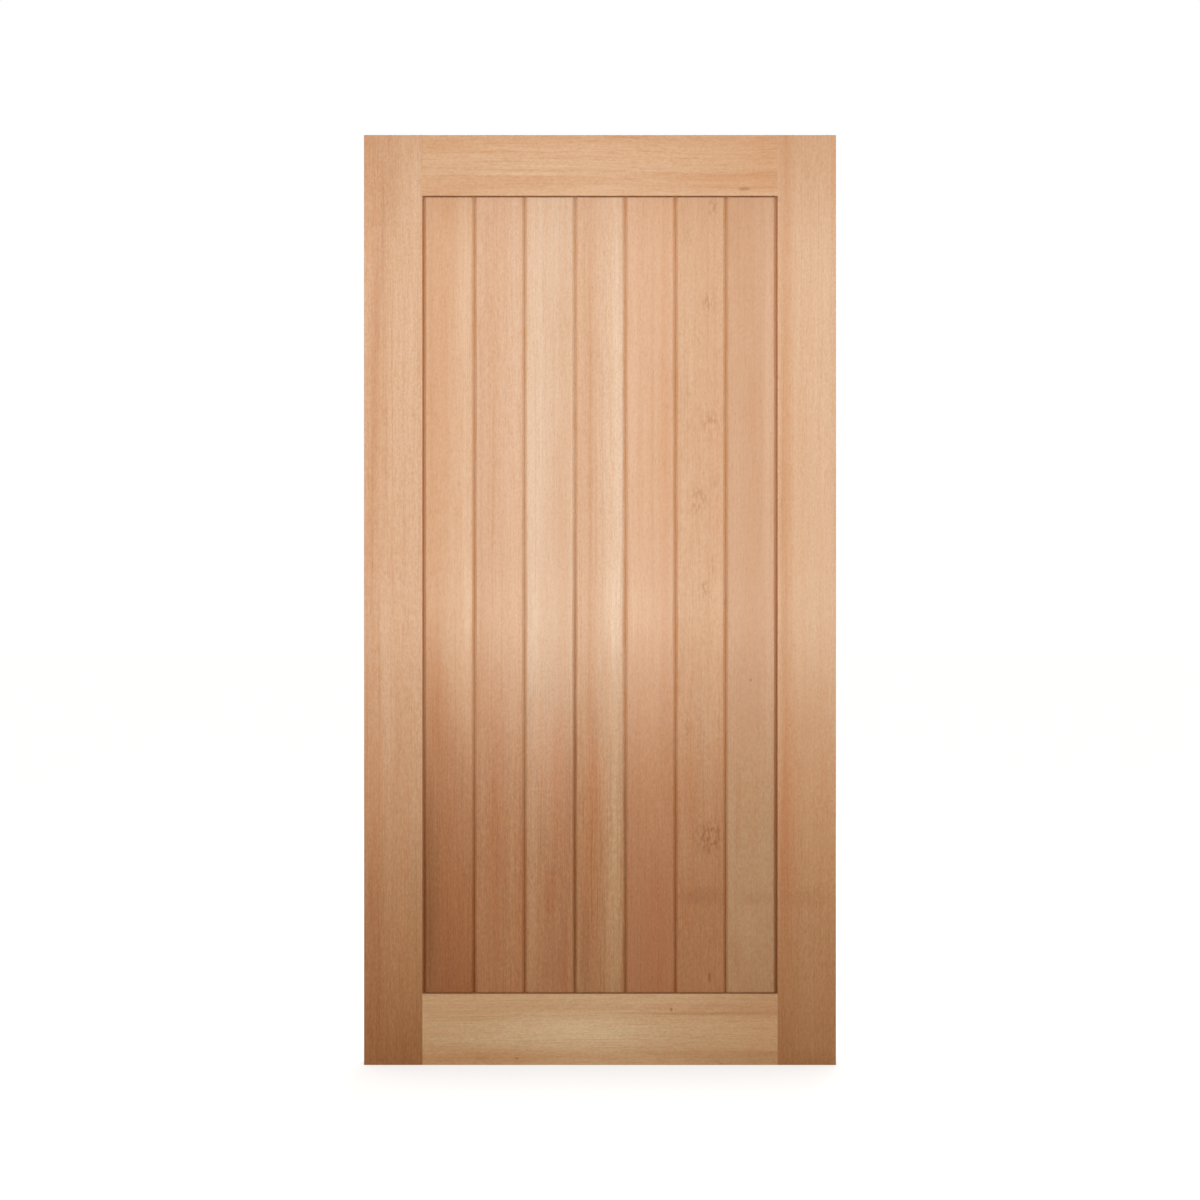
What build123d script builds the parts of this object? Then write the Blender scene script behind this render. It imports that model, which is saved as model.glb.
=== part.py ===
from build123d import *
import os

# Framed plank door leaf in solid hardwood.
# Two stiles and two rails are joined by haunched, wedged through tenons.
# Tongued and grooved planks with V joints stand in a groove ploughed round the inside of the frame.
# Both sides are alike. The front faces -Y, +X runs from the hinge edge to the lock edge, and +Z is up.
# The origin is on the hinge edge, at the foot of the leaf, in the middle of its thickness.
# All sizes are in millimetres.

# Whole leaf
DOOR_HEIGHT = 2100.0
DOOR_WIDTH = 1066.0
DOOR_THICKNESS = 44.0

# Frame members, as seen on the face
STILE_WIDTH = 132.0
TOP_RAIL_HEIGHT = 137.0
BOTTOM_RAIL_HEIGHT = 160.0
OUTER_ARRIS_RADIUS = 1.5    # the long outer corners of the stiles, eased for the hand
INNER_ARRIS_RADIUS = 1.0    # the corners round the planks

# Plough groove round the inside of the frame. The mortices and tenons have its width.
GROOVE_WIDTH = 14.0
GROOVE_DEPTH = 14.0

# Mortice and tenon joints
TOP_HAUNCH_HEIGHT = 41.0      # from the top of the leaf down to the tenon
BOTTOM_HAUNCH_HEIGHT = 52.0   # from the foot of the leaf up to the tenon
WEDGE_HEAD = 9.0              # a wedge's thickness at the outer edge of the stile
WEDGE_TIP = 1.5               # and at its inner end
WEDGE_END_CLEARANCE = 26.0    # from the wedge's inner end to the floor of the plough groove

# Planks
PLANK_COUNT = 7
PLANK_THICKNESS = 28.0
EDGE_PLANK_EXTRA = 3.0        # the first and last planks are this much wider than the others
V_DEPTH = 5.5                 # chamfer on each plank edge; two of them make one V joint
PLANK_GAP = 1.4               # between the shoulders of neighbouring planks
FRAME_GAP = 2.5               # between the planks' shoulders and the frame, all round
MOVEMENT_CLEARANCE = 2.0      # in the plough groove, beyond the tongues at the sides and the top
PLOUGH_FIT_CLEARANCE = 0.15   # on each cheek of a tongue in the plough groove
TONGUE_THICKNESS = 9.0
TONGUE_LENGTH = 9.0
TONGUE_FIT_CLEARANCE = 0.1    # on each cheek of a tongue between planks
TONGUE_TIP_CLEARANCE = 1.0    # beyond the tongue's tip

# Places that follow from the sizes above
opening_width = DOOR_WIDTH - 2 * STILE_WIDTH
opening_foot = BOTTOM_RAIL_HEIGHT
opening_head = DOOR_HEIGHT - TOP_RAIL_HEIGHT
mortice_run = STILE_WIDTH - GROOVE_DEPTH
wedge_length = mortice_run - WEDGE_END_CLEARANCE
plank_pitch = (opening_width - 2 * EDGE_PLANK_EXTRA) / PLANK_COUNT
plough_tongue_thickness = GROOVE_WIDTH - 2 * PLOUGH_FIT_CLEARANCE
side_tongue_length = FRAME_GAP + GROOVE_DEPTH - MOVEMENT_CLEARANCE


def block(low, high):
    """A box between two opposite corners, given as (x, y, z)."""
    size = [b - a for a, b in zip(low, high)]
    centre = [(a + b) / 2 for a, b in zip(low, high)]
    return Pos(*centre) * Box(*size)


def upright_prism(outline, thickness):
    """A closed outline of (x, z) points, made into a solid centred on the leaf's middle plane."""
    face = make_face(Plane.XZ * Polyline(*outline, close=True))
    return extrude(face, thickness / 2, both=True)


def to_lock_side(shape):
    """The same piece at the lock edge: a mirror image about the leaf's upright centre line."""
    return Pos(DOOR_WIDTH, 0, 0) * mirror(shape, about=Plane.YZ)


def to_top(shape):
    """The same piece at the head of the leaf, turned upside down."""
    return Pos(0, 0, DOOR_HEIGHT) * mirror(shape, about=Plane.XY)


def mortice(tenon_foot, tenon_head):
    """The hole for a through tenon. Above and below the tenon it flares towards the outer edge, for the wedges."""
    flare_run = wedge_length * WEDGE_HEAD / (WEDGE_HEAD - WEDGE_TIP)
    outline = [
        (0, tenon_foot - WEDGE_HEAD),
        (flare_run, tenon_foot),
        (STILE_WIDTH, tenon_foot),
        (STILE_WIDTH, tenon_head),
        (flare_run, tenon_head),
        (0, tenon_head + WEDGE_HEAD),
    ]
    return upright_prism(outline, GROOVE_WIDTH)


def tenon_heights(rail_height, haunch_height):
    """Lower and upper edge of a rail's tenon, measured from the outer edge of the rail."""
    return haunch_height, rail_height - GROOVE_DEPTH


def inner_arris():
    """What is taken off a stile's sharp front corner beside the planks to leave it rounded."""
    centre = Pos(STILE_WIDTH - INNER_ARRIS_RADIUS, INNER_ARRIS_RADIUS - DOOR_THICKNESS / 2)
    corner = centre * Rectangle(INNER_ARRIS_RADIUS, INNER_ARRIS_RADIUS, align=(Align.MIN, Align.MAX))
    section = corner - centre * Circle(INNER_ARRIS_RADIUS)
    return extrude(Pos(0, 0, opening_foot) * section, opening_head - opening_foot)


def make_stile():
    """The hinge stile: full height, ploughed on its inner edge and morticed for both rails."""
    half = DOOR_THICKNESS / 2
    stile = block((0, -half, 0), (STILE_WIDTH, half, DOOR_HEIGHT))
    outer_corners = stile.edges().filter_by(Axis.Z).group_by(Axis.X)[0]
    stile = fillet(outer_corners, OUTER_ARRIS_RADIUS)
    plough = block(
        (mortice_run, -GROOVE_WIDTH / 2, 0),
        (STILE_WIDTH, GROOVE_WIDTH / 2, DOOR_HEIGHT),
    )
    bottom_mortice = mortice(*tenon_heights(BOTTOM_RAIL_HEIGHT, BOTTOM_HAUNCH_HEIGHT))
    top_mortice = to_top(mortice(*tenon_heights(TOP_RAIL_HEIGHT, TOP_HAUNCH_HEIGHT)))
    front_arris = inner_arris()
    back_arris = mirror(front_arris, about=Plane.XZ)
    return stile - plough - bottom_mortice - top_mortice - front_arris - back_arris


def make_rail(height, haunch_height):
    """A bottom rail: the body between the stiles, ploughed on its upper edge, and a haunched tenon at each end."""
    half = DOOR_THICKNESS / 2
    body = block((STILE_WIDTH, -half, 0), (DOOR_WIDTH - STILE_WIDTH, half, height))
    inner_corners = body.edges().filter_by(Axis.X).group_by(Axis.Z)[-1]
    body = fillet(inner_corners, INNER_ARRIS_RADIUS)
    plough = block(
        (STILE_WIDTH, -GROOVE_WIDTH / 2, height - GROOVE_DEPTH),
        (DOOR_WIDTH - STILE_WIDTH, GROOVE_WIDTH / 2, height),
    )
    tenon_foot, tenon_head = tenon_heights(height, haunch_height)
    tenon = upright_prism(
        [
            (0, tenon_foot),
            (mortice_run, tenon_foot),
            (mortice_run, 0),
            (STILE_WIDTH, 0),
            (STILE_WIDTH, tenon_head),
            (0, tenon_head),
        ],
        GROOVE_WIDTH,
    )
    return body - plough + tenon + to_lock_side(tenon)


def make_wedges(rail_height, haunch_height):
    """The two wedges of one bottom rail tenon at the hinge stile, as {"lower": solid, "upper": solid}."""
    tenon_foot, tenon_head = tenon_heights(rail_height, haunch_height)
    sides = {"lower": (tenon_foot, -1), "upper": (tenon_head, 1)}
    return {
        name: upright_prism(
            [
                (0, edge),
                (wedge_length, edge),
                (wedge_length, edge + outwards * WEDGE_TIP),
                (0, edge + outwards * WEDGE_HEAD),
            ],
            GROOVE_WIDTH,
        )
        for name, (edge, outwards) in sides.items()
    }


def plank_edges(number):
    """Left and right shoulder of a plank, counted from 1 at the hinge side."""
    start = STILE_WIDTH + EDGE_PLANK_EXTRA + (number - 1) * plank_pitch
    left = STILE_WIDTH + FRAME_GAP if number == 1 else start + PLANK_GAP / 2
    right = start + plank_pitch - PLANK_GAP / 2
    if number == PLANK_COUNT:
        right = DOOR_WIDTH - STILE_WIDTH - FRAME_GAP
    return left, right


def plank_section(number):
    """Cross-section of a plank: chamfered on all four corners, with a tongue or a groove on each edge."""
    left, right = plank_edges(number)
    middle = (left + right) / 2
    outline = Rectangle(right - left, PLANK_THICKNESS)
    section = Pos(middle, 0) * chamfer(outline.vertices(), V_DEPTH)

    to_left = (Align.MAX, Align.CENTER)
    to_right = (Align.MIN, Align.CENTER)
    if number == 1:
        section += Pos(left, 0) * Rectangle(side_tongue_length, plough_tongue_thickness, align=to_left)
    else:
        depth = TONGUE_LENGTH - PLANK_GAP + TONGUE_TIP_CLEARANCE
        width = TONGUE_THICKNESS + 2 * TONGUE_FIT_CLEARANCE
        section -= Pos(left, 0) * Rectangle(depth, width, align=to_right)
    if number == PLANK_COUNT:
        section += Pos(right, 0) * Rectangle(side_tongue_length, plough_tongue_thickness, align=to_right)
    else:
        section += Pos(right, 0) * Rectangle(TONGUE_LENGTH, TONGUE_THICKNESS, align=to_right)
    return section


def make_plank(number):
    """A plank with its section carried up the opening, and a tongue on each end for the rails' grooves.

    It stands on the floor of the bottom rail's groove."""
    section = plank_section(number)
    end_section = section & Pos(DOOR_WIDTH / 2, 0) * Rectangle(DOOR_WIDTH, plough_tongue_thickness)
    shoulder_foot = opening_foot + FRAME_GAP
    shoulder_head = opening_head - FRAME_GAP
    tongue_foot = opening_foot - GROOVE_DEPTH
    tongue_head = opening_head + GROOVE_DEPTH - MOVEMENT_CLEARANCE
    body = extrude(Pos(0, 0, shoulder_foot) * section, shoulder_head - shoulder_foot)
    core = extrude(Pos(0, 0, tongue_foot) * end_section, tongue_head - tongue_foot)
    return body + core


def make_parts():
    """Every piece of the leaf, as {node name: solid}."""
    parts = {
        "hinge_stile": make_stile(),
        "lock_stile": to_lock_side(make_stile()),
        "bottom_rail": make_rail(BOTTOM_RAIL_HEIGHT, BOTTOM_HAUNCH_HEIGHT),
        "top_rail": to_top(make_rail(TOP_RAIL_HEIGHT, TOP_HAUNCH_HEIGHT)),
    }
    for number in range(1, PLANK_COUNT + 1):
        parts[f"plank_{number}"] = make_plank(number)
    for name, wedge in make_wedges(BOTTOM_RAIL_HEIGHT, BOTTOM_HAUNCH_HEIGHT).items():
        parts[f"bottom_{name}_wedge_hinge_side"] = wedge
        parts[f"bottom_{name}_wedge_lock_side"] = to_lock_side(wedge)
    flipped = {"lower": "upper", "upper": "lower"}
    for name, wedge in make_wedges(TOP_RAIL_HEIGHT, TOP_HAUNCH_HEIGHT).items():
        parts[f"top_{flipped[name]}_wedge_hinge_side"] = to_top(wedge)
        parts[f"top_{flipped[name]}_wedge_lock_side"] = to_lock_side(to_top(wedge))
    return parts


os.makedirs("parts", exist_ok=True)
for node, shape in make_parts().items():
    export_step(shape, f"parts/{node}.step")
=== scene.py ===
import math
from types import SimpleNamespace
from typing import NamedTuple

import bpy
import numpy as np
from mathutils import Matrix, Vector


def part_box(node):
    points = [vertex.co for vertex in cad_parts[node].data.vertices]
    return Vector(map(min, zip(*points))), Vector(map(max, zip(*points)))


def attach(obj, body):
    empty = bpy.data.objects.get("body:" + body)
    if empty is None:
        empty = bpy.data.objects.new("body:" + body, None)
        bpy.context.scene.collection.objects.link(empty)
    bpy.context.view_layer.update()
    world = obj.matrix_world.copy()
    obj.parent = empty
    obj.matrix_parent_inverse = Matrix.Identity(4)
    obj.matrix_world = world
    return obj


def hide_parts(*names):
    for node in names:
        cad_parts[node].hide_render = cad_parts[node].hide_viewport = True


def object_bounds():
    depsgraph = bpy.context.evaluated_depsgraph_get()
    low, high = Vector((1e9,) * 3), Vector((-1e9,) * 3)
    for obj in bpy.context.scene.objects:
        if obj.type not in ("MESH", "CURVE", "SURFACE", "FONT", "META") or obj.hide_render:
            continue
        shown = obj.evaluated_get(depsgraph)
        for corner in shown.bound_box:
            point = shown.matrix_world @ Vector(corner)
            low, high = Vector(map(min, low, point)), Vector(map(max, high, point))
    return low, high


bl_info = {
    "name": "Framed plank door",
    "version": (1, 0, 0),
    "blender": (4, 5, 0),
    "location": "3D View > Sidebar > Plank Door",
    "description": "Finishes a framed door leaf of V-jointed planks in planed and sanded hardwood",
    "category": "Object",
}

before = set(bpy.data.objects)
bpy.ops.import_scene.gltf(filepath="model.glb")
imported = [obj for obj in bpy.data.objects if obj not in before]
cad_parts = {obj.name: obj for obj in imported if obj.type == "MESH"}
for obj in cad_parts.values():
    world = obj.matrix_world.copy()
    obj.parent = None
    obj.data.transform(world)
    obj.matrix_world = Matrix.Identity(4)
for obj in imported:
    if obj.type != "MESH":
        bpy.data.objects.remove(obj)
cad_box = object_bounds()

MM = 0.001                      # the scene is in metres
PHOTO_SIDE_PX = 1200
LEAF_TOP_PX = 135
LEAF_FOOT_PX = 1065

leaf_low, leaf_high = cad_box
LEAF_HEIGHT = leaf_high.z - leaf_low.z
LEAF_MIDDLE_X = (leaf_low.x + leaf_high.x) / 2
FRONT_Y = leaf_low.y

PLANKS = sorted(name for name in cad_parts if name.startswith("plank_"))
WEDGES = sorted(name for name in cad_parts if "wedge" in name)
STILES = ("hinge_stile", "lock_stile")
RAILS = ("top_rail", "bottom_rail")


def linear(code):
    """An sRGB hex colour such as "D1A784" as linear red, green and blue."""
    shares = np.array([int(code[i:i + 2], 16) for i in (0, 2, 4)]) / 255
    return tuple(np.where(shares <= 0.04045, shares / 12.92, ((shares + 0.055) / 1.055) ** 2.4))


def rgba(colour):
    """A linear colour with an alpha of 1, as shader sockets want it."""
    return (*colour, 1.0)


# Sizes and colours that a user would change

class PlankSizes(bpy.types.PropertyGroup):
    """What the eye meets along the edges of the planks."""

    v_depth: bpy.props.FloatProperty(
        name="V depth", description="Chamfer on each plank edge; two of them make one V joint",
        default=5.5 * MM, min=0.001, max=0.012, unit="LENGTH")
    v_wander: bpy.props.FloatProperty(
        name="V wander", description="How far a chamfer's width strays along a plank",
        default=0.5 * MM, min=0.0, max=0.002, unit="LENGTH")
    arris_radius: bpy.props.FloatProperty(
        name="Arris radius", description="Rounding that sanding leaves between a face and its chamfer",
        default=1.2 * MM, min=0.0001, max=0.004, unit="LENGTH")
    cup: bpy.props.FloatProperty(
        name="Cup", description="How far the middle of a plank's face stands proud or sinks as it dries",
        default=0.25 * MM, min=0.0, max=0.002, unit="LENGTH")
    station_step: bpy.props.FloatProperty(
        name="Station step", description="Distance between the sections of a plank's mesh",
        default=12.0 * MM, min=0.004, max=0.1, unit="LENGTH")


class TimberColours(bpy.types.PropertyGroup):
    """Colours that all members share."""

    pore: bpy.props.FloatVectorProperty(
        name="Pores", description="Tint of the open pores, which multiplies the wood's own colour",
        default=linear("B9977A"), size=3, min=0, max=1, subtype="COLOR")
    dark_line: bpy.props.FloatVectorProperty(
        name="Dark lines", description="Tint of the darker lines along the grain",
        default=linear("E6C9AE"), size=3, min=0, max=1, subtype="COLOR")
    # Warms and darkens the leaf's head, more towards the top
    tan: bpy.props.FloatVectorProperty(
        name="Tan", description="Tint of the leaf's head, where daylight has darkened it",
        default=linear("EFE7DF"), size=3, min=0, max=1, subtype="COLOR")
    # Painted shade: a warm darkening that deepens into each V joint
    v_joint_shade: bpy.props.FloatVectorProperty(
        name="V joints", description="Tint of the wood at the bottom of a V joint, which the sander missed",
        default=linear("FEEFD4"), size=3, min=0, max=1, subtype="COLOR")
    # Painted shade: the dark colour of the tongues in the gap between planks and frame, where shade falls
    joint: bpy.props.FloatVectorProperty(
        name="Joint bottoms", description="Colour of the unsanded wood in the gap between planks and frame",
        default=linear("B27348"), size=3, min=0, max=1, subtype="COLOR")
    end_grain: bpy.props.FloatVectorProperty(
        name="End grain", description="Tint of sawn ends, where light sinks into the open fibres",
        default=linear("D9C0A4"), size=3, min=0, max=1, subtype="COLOR")


class StageSettings(bpy.types.PropertyGroup):
    """Camera and light."""

    focal_length: bpy.props.FloatProperty(
        name="Focal length", description="The camera's lens, in mm on a 36 mm wide frame",
        default=60.0, min=10, max=300)
    key_power: bpy.props.FloatProperty(
        name="Key light", description="Power of the soft lamp in front, in watts",
        default=1750.0, min=0, subtype="POWER")
    gleam_power: bpy.props.FloatProperty(
        name="Gleam", description="Power of the lamp that the wood's sheen reflects, in watts",
        default=150.0, min=0, subtype="POWER")
    gleam_colour: bpy.props.FloatVectorProperty(
        name="Gleam colour", description="Warm lamp that the wood's sheen reflects",
        default=linear("FFFBE5"), size=3, min=0, max=1, subtype="COLOR")
    back_power: bpy.props.FloatProperty(
        name="Back light", description="Power of the soft lamp behind, in watts",
        default=300.0, min=0, subtype="POWER")
    key_colour: bpy.props.FloatVectorProperty(
        name="Key colour", description="Daylight from above",
        default=linear("D8ECFF"), size=3, min=0, max=1, subtype="COLOR")
    fill_colour: bpy.props.FloatVectorProperty(
        name="Fill colour", description="Warm light that comes back from the room",
        default=linear("FFD6A0"), size=3, min=0, max=1, subtype="COLOR")
    fill_strength: bpy.props.FloatProperty(
        name="Fill", description="Strength of the light from all round",
        default=0.53, min=0, max=4)


# Shapes

STRAIGHT = math.radians(2)      # an outline's turns below this get no arc
SHARP = math.radians(30)        # edges that turn by more than this stay crisp


def swell(along, lengths, rng):
    """Slow waves along a board, from -1 to 1: the mean of sines of these lengths, with random phases."""
    phases = rng.uniform(0, 2 * math.pi, len(lengths))
    waves = np.sin(2 * math.pi * along[:, None] / np.array(lengths) + phases)
    return waves.mean(axis=1)


def rounded_outline(corners, radii, steps=4):
    """A closed outline at every station, with its corners rounded.

    corners has the shape (stations, corners, 2). A corner of radius r becomes an arc. It starts
    r * tan(half the turn) before the corner and follows
    start + r * (forward * sin a + inward * (1 - cos a)), for a from 0 to the turn.
    """
    nominal = corners.mean(axis=0)
    count = len(nominal)
    columns = []
    for i in range(count):
        before = nominal[i] - nominal[i - 1]
        after = nominal[(i + 1) % count] - nominal[i]
        before = before / np.linalg.norm(before)
        after = after / np.linalg.norm(after)
        turn = math.acos(float(np.clip(before @ after, -1, 1)))
        if radii[i] == 0 or turn < STRAIGHT:
            columns.append(corners[:, i:i + 1])
            continue
        inward = (after - before * math.cos(turn)) / math.sin(turn)
        start = corners[:, i] - before * radii[i] * math.tan(turn / 2)
        angles = np.linspace(0, turn, steps + 1)
        arc = radii[i] * (np.outer(np.sin(angles), before) + np.outer(1 - np.cos(angles), inward))
        columns.append(start[:, None] + arc[None])
    return np.concatenate(columns, axis=1)


def lofted(name, outlines, heights):
    """A closed mesh: outline k lies at heights[k], quads join neighbours, and each end is one flat face.

    outlines has the shape (stations, points, 2) and runs anticlockwise seen from above, so that the faces
    point outwards.
    """
    stations, points = outlines.shape[:2]
    z = np.repeat(heights[:, None, None], points, axis=1)
    vertices = np.concatenate([outlines, z], axis=2).reshape(-1, 3)
    k, i = np.meshgrid(np.arange(stations - 1), np.arange(points), indexing="ij")
    j = (i + 1) % points
    quads = np.stack([k * points + i, k * points + j, (k + 1) * points + j, (k + 1) * points + i], axis=-1)
    foot_cap = np.arange(points)[::-1]
    head_cap = np.arange(points) + (stations - 1) * points
    mesh = bpy.data.meshes.new(name)
    mesh.from_pydata(vertices, [], quads.reshape(-1, 4).tolist() + [foot_cap.tolist(), head_cap.tolist()])
    mesh.shade_smooth()
    mesh.set_sharp_from_angle(angle=SHARP)
    piece = bpy.data.objects.new(name, mesh)
    bpy.context.scene.collection.objects.link(piece)
    return piece


# The planks' hidden tongues and grooves, as in the solids
PLOUGH_TONGUE_THICKNESS = 13.7 * MM
TONGUE_THICKNESS = 9.0 * MM
TONGUE_LENGTH = 9.0 * MM
SIDE_TONGUE_LENGTH = 14.5 * MM
GROOVE_WIDTH = 9.2 * MM
GROOVE_DEPTH = 8.6 * MM
FOOT_TONGUE_LENGTH = 16.5 * MM
HEAD_TONGUE_LENGTH = 14.5 * MM
SHOULDER_RADIUS = 0.5 * MM
FACE_STRIPS = 8

# Wavelengths, in metres, of what strays along a plank
LONG_WAVES = (0.9, 0.53, 0.31)
SHORT_WAVES = (0.14, 0.09)
LONG_SHARE = 0.75               # the long waves' share in how a chamfer strays
SHORT_SHARE = 0.25


def plank_mesh(node, sizes):
    """A plank's section carried up the opening. Its chamfers and its face stray a little along the way."""
    number = int(node.split("_")[1])
    rng = np.random.default_rng(number)
    low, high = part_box(node)
    first, last = number == 1, number == len(PLANKS)
    left = low.x + SIDE_TONGUE_LENGTH if first else low.x
    right = high.x - (SIDE_TONGUE_LENGTH if last else TONGUE_LENGTH)
    half = (high.y - low.y) / 2
    shoulder_foot = low.z + FOOT_TONGUE_LENGTH
    shoulder_head = high.z - HEAD_TONGUE_LENGTH

    steps = round((shoulder_head - shoulder_foot) / sizes.station_step)
    body = np.linspace(shoulder_foot, shoulder_head, steps + 1)
    heights = np.concatenate([[low.z, shoulder_foot], body, [shoulder_head, high.z]])
    sway = [
        sizes.v_wander * (
            LONG_SHARE * swell(heights, LONG_WAVES, rng) + SHORT_SHARE * swell(heights, SHORT_WAVES, rng))
        for _ in range(4)
    ]
    front_left, front_right, back_left, back_right = (sizes.v_depth + s for s in sway)
    cup = sizes.cup * swell(heights, LONG_WAVES, rng)

    def at(x, y):
        return np.stack(np.broadcast_arrays(x, y, heights)[:2], axis=-1)

    def face(side, start, end):
        """Points inside a face, between its two chamfers, bowed by the cup: a parabola across the width."""
        shares = np.arange(1, FACE_STRIPS) / FACE_STRIPS
        x = start[:, None] + (end - start)[:, None] * shares
        y = side * (half - np.abs(cup)[:, None] * (2 * shares - 1) ** 2)
        return np.stack([x, y], axis=-1)

    edge_y = half - np.abs(cup)
    left_key = -SIDE_TONGUE_LENGTH if first else GROOVE_DEPTH
    left_half = (PLOUGH_TONGUE_THICKNESS if first else GROOVE_WIDTH) / 2
    right_key = SIDE_TONGUE_LENGTH if last else TONGUE_LENGTH
    right_half = (PLOUGH_TONGUE_THICKNESS if last else TONGUE_THICKNESS) / 2
    groups = [
        ([at(left + front_left, -edge_y)], sizes.arris_radius),
        (list(np.moveaxis(face(-1, left + front_left, right - front_right), 1, 0)), 0),
        ([at(right - front_right, -edge_y)], sizes.arris_radius),
        ([at(right, front_right - edge_y)], SHOULDER_RADIUS),
        ([at(right, -right_half), at(right + right_key, -right_half)], 0),
        ([at(right + right_key, right_half), at(right, right_half)], 0),
        ([at(right, edge_y - back_right)], SHOULDER_RADIUS),
        ([at(right - back_right, edge_y)], sizes.arris_radius),
        (list(np.moveaxis(face(1, right - back_right, left + back_left), 1, 0)), 0),
        ([at(left + back_left, edge_y)], sizes.arris_radius),
        ([at(left, edge_y - back_left)], SHOULDER_RADIUS),
        ([at(left, left_half), at(left + left_key, left_half)], 0),
        ([at(left + left_key, -left_half), at(left, -left_half)], 0),
        ([at(left, front_left - edge_y)], SHOULDER_RADIUS),
    ]
    corners = np.stack([corner for group, _ in groups for corner in group], axis=1)
    radii = [radius for group, radius in groups for _ in group]
    outlines = rounded_outline(corners, radii)
    cheek = PLOUGH_TONGUE_THICKNESS / 2
    for end in (slice(0, 2), slice(-2, None)):
        outlines[end, :, 1] = outlines[end, :, 1].clip(-cheek, cheek)
    return lofted(f"{node}_planed", outlines, heights)


# Timber

class Board(NamedTuple):
    """What one board's wood is like. Lengths are in millimetres."""

    head: str                        # colour of its upper part, or of all of it
    foot: str                        # colour towards its foot, darker partly in the wood itself and partly as painted shade
    heart: tuple = (-260, 120)       # the tree's heart, across and behind the middle of the board
    change: tuple = (1035, 420)      # the heights between which head turns to foot
    slant: float = 0.0               # how much higher the change lies on the left than on the right
    figure: float = 1.0              # strength of the lines along the grain
    wave: float = 1.0                # how much the grain meanders
    gloss: float = 0.25              # how much light its surface mirrors
    joints: bool = False             # whether it has V joints: rougher in them, with painted shade in them and in the gap round it
    resin: float = 0.0               # how dark the streaks towards its foot are


class Mark(NamedTuple):
    """Something that grew in a board; some marks are painted shade, and some partly painted sheen. Places
    and half sizes are in millimetres on the leaf.
    """

    kind: str
    x: float
    z: float
    across: float
    up: float
    strength: float = 1.0


# What each kind of mark does to the wood's red, green and blue
TINTS = {
    "brown": (0.96, 0.89, 0.83),
    "dark": (0.90, 0.84, 0.82),
    "red": (0.97, 0.86, 0.80),
    "olive": (0.86, 0.89, 0.86),
    "pink": (1.06, 1.00, 0.99),
    "pale": (1.07, 1.14, 1.20),
    "honey": (1.00, 0.975, 0.92),
    "fleck": (0.74, 0.64, 0.54),
    # Painted shade that darkens a joint line
    "shaded_joint": (0.80, 0.67, 0.58),
    "knot": (0.58, 0.46, 0.38),
}

# Each board's foot colour is darker than its head partly in the wood itself and partly as painted shade
BOARDS = {
    "hinge_stile": Board(
        head="D5AC8A", foot="B7885E", heart=(-240, 90), change=(1100, 0), figure=1.8, resin=0.5),
    "lock_stile": Board(
        head="D7B08E", foot="B7895F", heart=(300, -110), change=(1100, 0), figure=1.2, resin=0.35),
    "plank_1": Board(
        head="D6AC89", foot="A67048", heart=(-200, 140), change=(1070, 300), slant=1.0, figure=1.15,
        joints=True, resin=0.65),
    "plank_2": Board(head="D9B293", foot="B7855F", heart=(260, 120), figure=1.35, joints=True, resin=0.55),
    "plank_3": Board(head="DDBC9F", foot="BA8C67", heart=(-320, 90), figure=1.1, joints=True, resin=0.5),
    "plank_4": Board(head="DAB596", foot="BA906A", heart=(210, -160), figure=1.3, joints=True, resin=1.0),
    "plank_5": Board(head="D9AE8D", foot="B88460", heart=(-280, -100), joints=True, resin=0.15),
    "plank_6": Board(head="D4AA87", foot="B98963", heart=(190, 170), figure=1.2, joints=True, resin=0.4),
    "plank_7": Board(head="D0A685", foot="C09C79", heart=(-230, 150), figure=0.85, gloss=0.18, joints=True),
    "top_rail": Board(head="DBB592", foot="DBB592", heart=(120, 150), figure=1.5, wave=1.6, gloss=0.28),
    "bottom_rail": Board(
        head="DDC09C", foot="DDC09C", heart=(-150, 140), change=(0, -500), figure=1.6, wave=1.2,
        gloss=0.28),
}

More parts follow.
